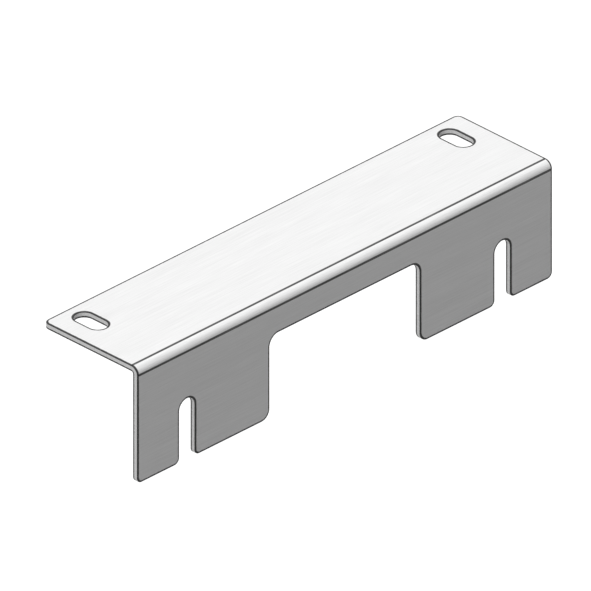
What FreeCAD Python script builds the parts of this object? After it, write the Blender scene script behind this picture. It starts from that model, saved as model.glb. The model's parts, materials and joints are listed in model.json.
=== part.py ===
import FreeCAD, Part
import math
import os

# Mounting bracket folded from one sheet: a top flange with two slotted holes, and a front flange
# that is cut into two legs, each with a slot open at the bottom edge.
# Sizes are in millimetres. X runs along the bracket, +Y towards the rear edge, +Z up.
# The origin is on the top face, midway between the two slotted holes.

# Folded sheet, measured over its outside faces
length = 175.75
top_depth = 40.0
front_height = 40.0
sheet_thickness = 2.0
bend_inner_radius = 0.6

# Rounded corners of the sheet, and the small chamfer that breaks every cut edge
rear_corner_radius = 2.3
foot_corner_radius = 2.0
edge_break = 0.2

# Slotted holes through the top flange, the long way across the bracket
hole_width = 6.3
hole_length = 12.0
hole_to_end = 10.5
hole_to_rear = 9.85

# Slots open at the bottom of the front flange; the depth is to the centre of the round end
slot_width = 6.5
slot_depth = 17.8
slot_to_end = 21.1
slot_mouth_radius = 2.0

# Legs either side of the middle cut-out, and the web left above it
leg_width = 56.1
web_height = 11.85
leg_foot_radius = 3.4
web_corner_radius = 3.7

# Places that follow from the sizes
bend_outer_radius = bend_inner_radius + sheet_thickness
end_x = length / 2
rear_y = hole_to_rear
front_y = rear_y - top_depth
fold_y = front_y + bend_outer_radius
fold_z = -bend_outer_radius
bottom_z = -front_height

# How far the cutter of a slotted hole reaches past both faces of the sheet
CUTTER_REACH = 2.0
# Turn from the top flange to the front flange, in degrees
QUARTER_TURN = 90.0
# Runs shorter than this are left out between two arcs that meet
SHORTEST_RUN = 1e-6
# Two faces meet in a sharp edge where the cosine between their normals is under this
SHARP_COSINE = 0.5


def round_corner(before, corner, after, radius):
    """Start and end of the arc that rounds a corner, and the arc itself, or None if it is sharp."""
    if radius == 0:
        return corner, corner, None
    back = (before - corner).normalize()
    ahead = (after - corner).normalize()
    half_angle = back.getAngle(ahead) / 2
    start = corner + back * (radius / math.tan(half_angle))
    end = corner + ahead * (radius / math.tan(half_angle))
    inward = (back + ahead).normalize()
    middle = corner + inward * (radius / math.sin(half_angle) - radius)
    return start, end, Part.Arc(start, middle, end).toShape()


def outline(corners):
    """Closed outline through corners given as (point, radius), straight between its round corners."""
    points = [point for point, radius in corners]
    rounded = []
    for index, (point, radius) in enumerate(corners):
        following = points[(index + 1) % len(points)]
        rounded.append(round_corner(points[index - 1], point, following, radius))
    edges = []
    for index, (start, end, arc) in enumerate(rounded):
        if arc:
            edges.append(arc)
        next_start = rounded[(index + 1) % len(rounded)][0]
        if end.distanceToPoint(next_start) > SHORTEST_RUN:
            edges.append(Part.LineSegment(end, next_start).toShape())
    return Part.Wire(edges)


def mirrored(corners):
    """The corners of a right half, followed by their mirror images back along the left half."""
    left = [(FreeCAD.Vector(-point.x, point.y, point.z), radius) for point, radius in reversed(corners)]
    return corners + left


def slotted_hole(centre_x):
    """Cutter for one slotted hole, from under the top flange to above it."""
    half_width = hole_width / 2
    half_length = hole_length / 2
    under = -sheet_thickness - CUTTER_REACH
    corners = []
    for sign_x, sign_y in [(-1, -1), (1, -1), (1, 1), (-1, 1)]:
        point = FreeCAD.Vector(centre_x + sign_x * half_width, sign_y * half_length, under)
        corners.append((point, half_width))
    return Part.Face(outline(corners)).extrude(FreeCAD.Vector(0, 0, CUTTER_REACH - under))


def top_flange():
    """Flat top flange from the fold line to the rear edge, with its two slotted holes."""
    right = [
        (FreeCAD.Vector(end_x, fold_y, 0), 0),
        (FreeCAD.Vector(end_x, rear_y, 0), rear_corner_radius),
    ]
    flange = Part.Face(outline(mirrored(right))).extrude(FreeCAD.Vector(0, 0, -sheet_thickness))
    hole_x = end_x - hole_to_end
    return flange.cut([slotted_hole(-hole_x), slotted_hole(hole_x)])


def fold():
    """Quarter turn of the sheet's section about the fold's axis, from the top flange to the front one."""
    section_corners = [
        (FreeCAD.Vector(end_x, fold_y, 0), 0),
        (FreeCAD.Vector(end_x, fold_y, -sheet_thickness), 0),
    ]
    section = Part.Face(outline(mirrored(section_corners)))
    axis_point = FreeCAD.Vector(0, fold_y, fold_z)
    return section.revolve(axis_point, FreeCAD.Vector(1, 0, 0), QUARTER_TURN)


def front_flange():
    """Flat front flange below the fold: two legs with open slots, joined by the web above the cut-out."""
    leg_x = end_x - leg_width
    slot_x = end_x - slot_to_end
    slot_inner_x = slot_x - slot_width / 2
    slot_outer_x = slot_x + slot_width / 2
    slot_top_z = bottom_z + slot_depth + slot_width / 2
    right = [
        (leg_x, -web_height, web_corner_radius),
        (leg_x, bottom_z, leg_foot_radius),
        (slot_inner_x, bottom_z, slot_mouth_radius),
        (slot_inner_x, slot_top_z, slot_width / 2),
        (slot_outer_x, slot_top_z, slot_width / 2),
        (slot_outer_x, bottom_z, slot_mouth_radius),
        (end_x, bottom_z, foot_corner_radius),
        (end_x, fold_z, 0),
    ]
    corners = [(FreeCAD.Vector(x, front_y, z), radius) for x, z, radius in right]
    return Part.Face(outline(mirrored(corners))).extrude(FreeCAD.Vector(0, sheet_thickness, 0))


def normal_at_middle(face, edge):
    """Outward normal of a face at the middle of one of its edges."""
    middle = edge.valueAt((edge.FirstParameter + edge.LastParameter) / 2)
    u, v = face.Surface.parameter(middle)
    return face.normalAt(u, v)


def sharp_edges(shape):
    """Edges where a face of the sheet meets a cut face, and not those where faces run on smoothly."""
    found = []
    for edge in shape.Edges:
        first, second = shape.ancestorsOfType(edge, Part.Face)
        cosine = normal_at_middle(first, edge).dot(normal_at_middle(second, edge))
        if cosine < SHARP_COSINE:
            found.append(edge)
    return found


def bracket():
    """The whole bracket as one solid, with its cut edges broken."""
    sheet = top_flange().fuse([fold(), front_flange()]).removeSplitter()
    return sheet.makeChamfer(edge_break, sharp_edges(sheet))


os.makedirs("parts", exist_ok=True)
solid = bracket()
solid.exportStep("parts/bracket.step")
box = solid.optimalBoundingBox(False, False)
print("bracket: valid", solid.isValid(), "solids", len(solid.Solids), "volume", round(solid.Volume, 1))
print("size", round(box.XLength, 3), round(box.YLength, 3), round(box.ZLength, 3))
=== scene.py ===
import json
import math

import bpy
from mathutils import Matrix, Vector


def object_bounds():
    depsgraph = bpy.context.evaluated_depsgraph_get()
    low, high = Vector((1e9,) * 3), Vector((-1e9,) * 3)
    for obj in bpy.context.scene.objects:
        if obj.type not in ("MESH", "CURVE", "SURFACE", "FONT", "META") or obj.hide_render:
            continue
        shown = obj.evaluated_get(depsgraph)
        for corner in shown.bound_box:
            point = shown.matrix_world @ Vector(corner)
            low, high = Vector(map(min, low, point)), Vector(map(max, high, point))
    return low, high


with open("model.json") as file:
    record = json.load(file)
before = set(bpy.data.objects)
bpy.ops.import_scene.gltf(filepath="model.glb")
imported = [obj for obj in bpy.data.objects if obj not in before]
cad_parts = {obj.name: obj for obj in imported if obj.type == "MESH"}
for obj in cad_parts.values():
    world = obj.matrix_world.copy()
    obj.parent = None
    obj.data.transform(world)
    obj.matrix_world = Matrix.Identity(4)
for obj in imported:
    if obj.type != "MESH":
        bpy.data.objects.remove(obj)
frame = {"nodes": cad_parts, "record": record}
CAD_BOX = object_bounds()
LOW, HIGH = CAD_BOX
MOUNTS = {mount["name"]: mount for mount in frame["record"]["mounts"]}
MILLIMETRE = 0.001

# The fold, in metres: the radius of its outer face, that of the layer that keeps its length, the way
# round along that layer, and the place of its axis
FOLD_RADIUS = 0.0026
NEUTRAL_RADIUS = 0.0016
FOLD_GIRTH = NEUTRAL_RADIUS * math.pi / 2
FOLD_Y = LOW.y + FOLD_RADIUS
FOLD_Z = HIGH.z - FOLD_RADIUS

# Slotted holes and open slots: their centres, radii, and half the straight run of a slotted hole
HOLE = MOUNTS["right_slotted_hole"]
HOLE_X = HOLE["pos_m"][0]
HOLE_RADIUS = HOLE["dims"]["hole_r_mm"] * MILLIMETRE
HOLE_HALF_RUN = HOLE["dims"]["slot_length_mm"] * MILLIMETRE / 2 - HOLE_RADIUS
OPEN_SLOT = MOUNTS["right_open_slot"]
SLOT_X = OPEN_SLOT["pos_m"][0]
SLOT_Z = OPEN_SLOT["pos_m"][2]
SLOT_RADIUS = 0.00325
SLOT_MOUTH_RADIUS = 0.0020

# The middle cut-out and the rounded corners, as in the part's source
LEG_X = 0.031775
LEG_FOOT_RADIUS = 0.0034
WEB_Z = -0.01185
WEB_CORNER_RADIUS = 0.0037
FOOT_CORNER_RADIUS = 0.0020
REAR_CORNER_RADIUS = 0.0023

# A point is on a face of the sheet, or on a cut face, by the cosine between its direction and the
# sheet's: each starts at the first value and is certain from the second
FACE_COSINES = (0.80, 0.95)
CUT_COSINES = (0.60, 0.30)

# Patterns of the surface: waves per metre along each coordinate, and detail
GRAIN = ((60, 2500), 3)
BANDS = ((12, 170), 3)
CLOUDS = ((110, 160), 2)
CRAZING = ((150, 4500), 2)
STRIATION = ((3200, 3200, 250), 2)
WANDER = ((900, 900, 900), 2)

# Zinc: its grey and roughness, and how far each pattern moves them up and down
SHEET_GREY = 0.78
GRAIN_IN_GREY = 0.18
BANDS_IN_GREY = 0.08
# Painted highlight: how much paler the fold's round is painted
PAINTED_FOLD_HIGHLIGHT_IN_GREY = 0.05
CRAZING_IN_GREY = 0.16
ROUGHNESS = 0.60
GRAIN_IN_ROUGHNESS = 0.20
CLOUDS_IN_ROUGHNESS = 0.16
CRAZING_IN_ROUGHNESS = 0.25
METALLIC = 0.02
SPECULAR_LEVEL = 0.3
BUMP_STRENGTH = 0.3
BUMP_HEIGHT = 0.00005
# Over this distance from each side of the fold, the fold's round grows from none to full: there the coat is
# crazed, and painted paler as a painted highlight
FOLD_EDGE = 0.0004

# Cut faces: their grey, which is set paler than the sheet's as painted light that brightens them, how far
# striations move it, the depths over which the striations grow, and the share of their strength that they
# start from where the beam went in
CUT_GREY = 0.88
STRIATION_IN_GREY = 0.45
STRIATION_DEPTHS = (0.0004, 0.0014)
STRIATION_AT_ENTRY = 0.5

# Burnt zinc: the share of its grey that is left, and what it adds to the roughness. The rim lies on the
# sheet beside a cut, and the exit band on the cut face, where the beam came out. Each has the distance
# or depth where it starts and the one from which it is full, and both run unevenly
BURNT_SHARE = 0.05
BURNT_ROUGHNESS = 0.15
RIM_DISTANCES = (0.00078, 0.00060)
EXIT_DEPTHS = (0.0012, 0.00145)
UNEVENNESS = 0.00020

# Marks of the folding tool: the share of their grey that is left, how far their middle lies out from the
# fold, the distances from there where they start and are full, and how much the grain shows in them
MARK_SHARE = 0.05
MARK_OFFSET = 0.00012
MARK_DISTANCES = (0.00044, 0.00026)
GRAIN_IN_MARK = 0.8

# The picture: its side and scale in pixels, and the pixel where the outer faces of the left end would meet
PICTURE_SIDE = 591
PIXELS_PER_METRE = 3340
CORNER_PIXEL = (136.85, 368.2)
AZIMUTH = math.radians(-45)
ELEVATION = math.radians(30)
CAMERA_DISTANCE = 1.0

# Light: the level of the sky, the share that the floor gives back, and where the floor lies
SKY_LEVEL = 0.165
FLOOR_BOUNCE = 0.19
FLOOR_DROP = 0.20
FLOOR_SIDE = 60.0
# A sun of this strength lights a surface that faces it at level 1
UNIT_SUN = math.pi


class Nodes:
    """Short calls that add shader nodes to one tree."""

    def __init__(self, tree):
        self.tree = tree
        tree.nodes.clear()

    def add(self, kind, inputs=(), **settings):
        """A node of that kind, with its settings, and its inputs set to values or linked to sockets."""
        made = self.tree.nodes.new("ShaderNode" + kind)
        for name, value in settings.items():
            setattr(made, name, value)
        for key, value in dict(inputs).items():
            if isinstance(value, bpy.types.NodeSocket):
                self.tree.links.new(value, made.inputs[key])
            else:
                made.inputs[key].default_value = value
        return made

    def calculate(self, operation, *values):
        return self.add("Math", enumerate(values), operation=operation).outputs[0]

    def plus(self, first, second):
        return self.calculate("ADD", first, second)

    def minus(self, first, second):
        return self.calculate("SUBTRACT", first, second)

    def times(self, first, second):
        return self.calculate("MULTIPLY", first, second)

    def least(self, first, second):
        return self.calculate("MINIMUM", first, second)

    def most(self, first, second):
        return self.calculate("MAXIMUM", first, second)

    def size(self, value):
        return self.calculate("ABSOLUTE", value)

    def vector(self, x, y, z=0.0):
        return self.add("CombineXYZ", {"X": x, "Y": y, "Z": z}).outputs[0]

    def length(self, x, y):
        return self.add("VectorMath", {0: self.vector(x, y)}, operation="LENGTH").outputs["Value"]

    def cosine(self, first, second):
        """Cosine between a vector of any length and a unit vector."""
        unit = self.add("VectorMath", {0: first}, operation="NORMALIZE").outputs[0]
        return self.add("VectorMath", {0: unit, 1: second}, operation="DOT_PRODUCT").outputs["Value"]

    def mix(self, share, first, second):
        return self.add("Mix", {0: share, 2: first, 3: second}).outputs[0]

    def ramp(self, value, ends, low=0.0):
        """Smooth step from low to 1 as value goes from the first of the ends to the second."""
        inputs = {"Value": value, "From Min": ends[0], "From Max": ends[1], "To Min": low, "To Max": 1.0}
        return self.add("MapRange", inputs, interpolation_type="SMOOTHSTEP").outputs[0]

    def noise(self, pattern, *coordinates):
        """Noise about 0, from -0.5 to 0.5 at the most, of a pattern laid over two or three coordinates."""
        waves, detail = pattern
        scaled = [self.times(coordinate, count) for coordinate, count in zip(coordinates, waves)]
        inputs = {"Vector": self.vector(*scaled), "Scale": 1.0, "Detail": detail}
        return self.minus(self.add("TexNoise", inputs).outputs["Fac"], 0.5)

    def vary(self, value, *patterns):
        """A value to which each pattern is added as strongly as its amount says."""
        for pattern, amount in patterns:
            value = self.plus(value, self.times(pattern, amount))
        return value

    def grey(self, value):
        return self.add("CombineColor", {"Red": value, "Green": value, "Blue": value}).outputs[0]

    def surface(self, kind, inputs):
        shader = self.add(kind, inputs)
        self.add("OutputMaterial", {"Surface": shader.outputs[0]})


class SheetPlace:
    """Where a point of the surface lies on the folded sheet, as sockets of one shader tree."""

    def __init__(self, nodes):
        coordinates = nodes.add("TexCoord").outputs
        split = nodes.add("SeparateXYZ", {0: coordinates["Object"]}).outputs
        self.x, self.y, self.z = split["X"], split["Y"], split["Z"]

        # Out from the middle of the bracket, behind the fold's axis or ahead of it, and over or under it
        self.out = nodes.size(self.x)
        self.behind = nodes.most(nodes.minus(self.y, FOLD_Y), 0.0)
        self.ahead = nodes.least(nodes.minus(self.y, FOLD_Y), 0.0)
        self.above = nodes.most(nodes.minus(self.z, FOLD_Z), 0.0)
        self.below = nodes.least(nodes.minus(self.z, FOLD_Z), 0.0)

        # Depth into the sheet from its outer face, and girth: the way over the unfolded sheet, which is 0
        # where the fold meets the top flange and grows towards the rear
        self.depth = nodes.minus(FOLD_RADIUS, nodes.length(self.ahead, self.above))
        turn = nodes.calculate("ARCTAN2", self.ahead, self.above)
        straight = nodes.plus(self.behind, self.below)
        self.girth = nodes.plus(straight, nodes.times(turn, NEUTRAL_RADIUS))

        # Shares of sheet face and cut face: a broken edge between the two is neither
        outward = nodes.vector(0.0, self.ahead, self.above)
        facing = nodes.size(nodes.cosine(outward, coordinates["Normal"]))
        self.face = nodes.ramp(facing, FACE_COSINES)
        self.cut = nodes.ramp(facing, CUT_COSINES)


def shader_nodes(material):
    material.use_nodes = True
    return Nodes(material.node_tree)


def rounded_corner(nodes, first, second, radius):
    """Distance to the edge near an outer corner of that radius, from the distances to the two sides that
    meet there. It stops growing at the radius."""
    inside_first = nodes.most(nodes.minus(radius, first), 0.0)
    inside_second = nodes.most(nodes.minus(radius, second), 0.0)
    return nodes.minus(radius, nodes.length(inside_first, inside_second))


def top_edge_distance(nodes, place):
    """Distance over the top flange to the nearest cut."""
    end = nodes.minus(HIGH.x, place.out)
    rear = nodes.minus(HIGH.y, place.y)
    past_run = nodes.most(nodes.minus(nodes.size(place.y), HOLE_HALF_RUN), 0.0)
    hole = nodes.minus(nodes.length(nodes.minus(place.out, HOLE_X), past_run), HOLE_RADIUS)
    return nodes.least(rounded_corner(nodes, end, rear, REAR_CORNER_RADIUS), hole)


def front_edge_distance(nodes, place):
    """Distance over the fold and the front flange to the nearest cut."""
    end = nodes.minus(HIGH.x, place.out)
    foot = nodes.minus(place.z, LOW.z)
    past_slot = nodes.most(nodes.minus(place.z, SLOT_Z), 0.0)
    slot = nodes.minus(nodes.length(nodes.minus(place.out, SLOT_X), past_slot), SLOT_RADIUS)
    beside_cut_out = nodes.most(nodes.minus(place.out, LEG_X - WEB_CORNER_RADIUS), 0.0)
    over_cut_out = nodes.most(nodes.minus(place.z, WEB_Z - WEB_CORNER_RADIUS), 0.0)
    cut_out = nodes.minus(nodes.length(beside_cut_out, over_cut_out), WEB_CORNER_RADIUS)
    distance = rounded_corner(nodes, end, foot, FOOT_CORNER_RADIUS)
    distance = nodes.least(distance, rounded_corner(nodes, slot, foot, SLOT_MOUTH_RADIUS))
    return nodes.least(distance, rounded_corner(nodes, cut_out, foot, LEG_FOOT_RADIUS))


def burnt_zinc(nodes, place):
    """Share of burnt zinc: the broken edges and the rim beside them, and the band where the beam came out."""
    wander = nodes.noise(WANDER, place.x, place.y, place.z)
    on_top = nodes.calculate("GREATER_THAN", place.behind, 0.0)
    distance = nodes.mix(on_top, front_edge_distance(nodes, place), top_edge_distance(nodes, place))
    rim = nodes.ramp(nodes.vary(distance, (wander, UNEVENNESS)), RIM_DISTANCES)
    exit_band = nodes.ramp(nodes.vary(place.depth, (wander, UNEVENNESS)), EXIT_DEPTHS)
    return nodes.most(nodes.times(rim, nodes.minus(1.0, place.cut)), nodes.times(exit_band, place.cut))


def fold_mark(nodes, place, grain):
    """Share of the folding tool's mark, which runs along both sides of the fold."""
    upper_mark = nodes.minus(place.girth, MARK_OFFSET)
    lower_mark = nodes.plus(place.girth, FOLD_GIRTH + MARK_OFFSET)
    nearer_mark = nodes.least(nodes.size(upper_mark), nodes.size(lower_mark))
    mark = nodes.times(nodes.ramp(nearer_mark, MARK_DISTANCES), place.face)
    return nodes.times(mark, nodes.vary(1.0, (grain, GRAIN_IN_MARK)))


def fold_round_share(nodes, place):
    """Share of the fold's round, where the coat is crazed and painted paler as a painted highlight."""
    ahead = nodes.ramp(place.ahead, (0.0, -FOLD_EDGE))
    above = nodes.ramp(place.above, (0.0, FOLD_EDGE))
    return nodes.times(ahead, above)


def cut_striation(nodes, place):
    """Striations through the thickness of a cut face, deeper towards the side where the beam came out."""
    striation = nodes.noise(STRIATION, place.x, place.girth, place.depth)
    return nodes.times(striation, nodes.ramp(place.depth, STRIATION_DEPTHS, STRIATION_AT_ENTRY))


def zinc_coated_sheet():
    """Zinc coated sheet with a fine rolling grain, cut by laser and folded once."""
    material = bpy.data.materials.new("zinc_coated_sheet")
    nodes = shader_nodes(material)
    place = SheetPlace(nodes)

    # Grain and long faint bands run along the bracket, and clouds change its gloss. The coat over the fold is
    # finely crazed, and painted paler there as a painted highlight
    grain = nodes.noise(GRAIN, place.x, place.girth)
    bands = nodes.noise(BANDS, place.x, place.girth)
    clouds = nodes.noise(CLOUDS, place.x, place.girth)
    fold_round = fold_round_share(nodes, place)
    crazing = nodes.times(nodes.noise(CRAZING, place.x, place.girth), fold_round)
    striation = cut_striation(nodes, place)
    burnt = burnt_zinc(nodes, place)
    mark = fold_mark(nodes, place, grain)

    zinc_grey = nodes.vary(
        SHEET_GREY,
        (grain, GRAIN_IN_GREY),
        (bands, BANDS_IN_GREY),
        # painted highlight: the fold's round is painted paler
        (fold_round, PAINTED_FOLD_HIGHLIGHT_IN_GREY),
        (crazing, CRAZING_IN_GREY),
    )
    # The cut faces' grey is paler than the sheet's: painted light on the cut faces
    cut_grey = nodes.vary(CUT_GREY, (striation, STRIATION_IN_GREY))
    grey = nodes.mix(place.cut, zinc_grey, cut_grey)
    grey = nodes.times(grey, nodes.mix(burnt, 1.0, BURNT_SHARE))
    grey = nodes.times(grey, nodes.mix(mark, 1.0, MARK_SHARE))
    roughness = nodes.vary(
        ROUGHNESS,
        (grain, GRAIN_IN_ROUGHNESS),
        (clouds, CLOUDS_IN_ROUGHNESS),
        (crazing, CRAZING_IN_ROUGHNESS),
        (burnt, BURNT_ROUGHNESS),
    )
    height = nodes.mix(place.cut, nodes.plus(grain, crazing), striation)
    bump = nodes.add("Bump", {"Strength": BUMP_STRENGTH, "Distance": BUMP_HEIGHT, "Height": height})
    nodes.surface("BsdfPrincipled", {
        "Base Color": nodes.grey(grey),
        "Metallic": METALLIC,
        "Specular IOR Level": SPECULAR_LEVEL,
        "Roughness": roughness,
        "Normal": bump.outputs[0],
    })
    return material


def dress(name, material):
    """Gives a CAD node its material."""
    node = frame["nodes"][name]
    for slot in node.material_slots:
        slot.material = material


def background_rays(nodes):
    """1 for the rays that show the white background, and 0 for those that light the object."""
    path = nodes.add("LightPath").outputs
    seen = nodes.most(path["Is Camera Ray"], path["Is Glossy Ray"])
    return nodes.most(seen, path["Is Transmission Ray"])


def floor():
    """Plain white floor well under the bracket, which is held by its top flange."""
    material = bpy.data.materials.new("floor")
    nodes = shader_nodes(material)
    shade = nodes.most(background_rays(nodes), FLOOR_BOUNCE)
    nodes.surface("BsdfDiffuse", {"Color": nodes.grey(shade)})
    bpy.ops.mesh.primitive_plane_add(size=FLOOR_SIDE, location=(0, 0, LOW.z - FLOOR_DROP))
    made = bpy.context.object
    made.name = "floor"
    made.data.materials.append(material)


def sky():
    """Even sky light, and plain white where the camera or a reflection sees past the floor."""
    world = bpy.data.worlds.new("sky")
    bpy.context.scene.world = world
    world.use_nodes = True
    nodes = Nodes(world.node_tree)
    level = nodes.most(background_rays(nodes), SKY_LEVEL)
    shader = nodes.add("Background", {"Color": (1, 1, 1, 1), "Strength": level})
    nodes.add("OutputWorld", {"Surface": shader.outputs[0]})


def sun(name, towards, level, spread, glossy=True):
    """Soft distant light from the direction towards, at that level on a surface that faces it. One that
    isn't glossy leaves no sheen."""
    light = bpy.data.lights.new(name, "SUN")
    light.energy = level * UNIT_SUN
    light.angle = math.radians(spread)
    lamp = bpy.data.objects.new(name, light)
    lamp.visible_glossy = glossy
    lamp.rotation_mode = "QUATERNION"
    lamp.rotation_quaternion = Vector(towards).to_track_quat("Z", "Y")
    bpy.context.scene.collection.objects.link(lamp)


def camera():
    """Parallel view from the front, left and above, framed as the picture is."""
    right = Vector((math.cos(AZIMUTH), math.sin(AZIMUTH), 0))
    back = Vector((
        math.sin(AZIMUTH) * math.cos(ELEVATION),
        -math.cos(AZIMUTH) * math.cos(ELEVATION),
        math.sin(ELEVATION),
    ))
    up = back.cross(right)
    middle = (PICTURE_SIDE - 1) / 2
    across = (middle - CORNER_PIXEL[0]) / PIXELS_PER_METRE
    over = (CORNER_PIXEL[1] - middle) / PIXELS_PER_METRE
    corner = Vector((LOW.x, LOW.y, HIGH.z))
    place = corner + right * across + up * over + back * CAMERA_DISTANCE
    data = bpy.data.cameras.new("camera")
    data.type = "ORTHO"
    data.ortho_scale = PICTURE_SIDE / PIXELS_PER_METRE
    made = bpy.data.objects.new("camera", data)
    made.matrix_world = Matrix.Translation(place) @ Matrix((right, up, back)).transposed().to_4x4()
    bpy.context.scene.collection.objects.link(made)
    bpy.context.scene.camera = made


dress("bracket", zinc_coated_sheet())
floor()
sky()

# The key lights the top, the side light reaches into the slots, and the sheen lies along the fold
sun("key", towards=(0.0, 0.08, 1.0), level=0.70, spread=40)
sun("side", towards=(-0.85, -0.28, 0.45), level=0.34, spread=25, glossy=False)
sun("sheen", towards=(0.612, 0.148, 0.776), level=0.16, spread=20)

camera()
bpy.context.scene.view_settings.view_transform = "Standard"
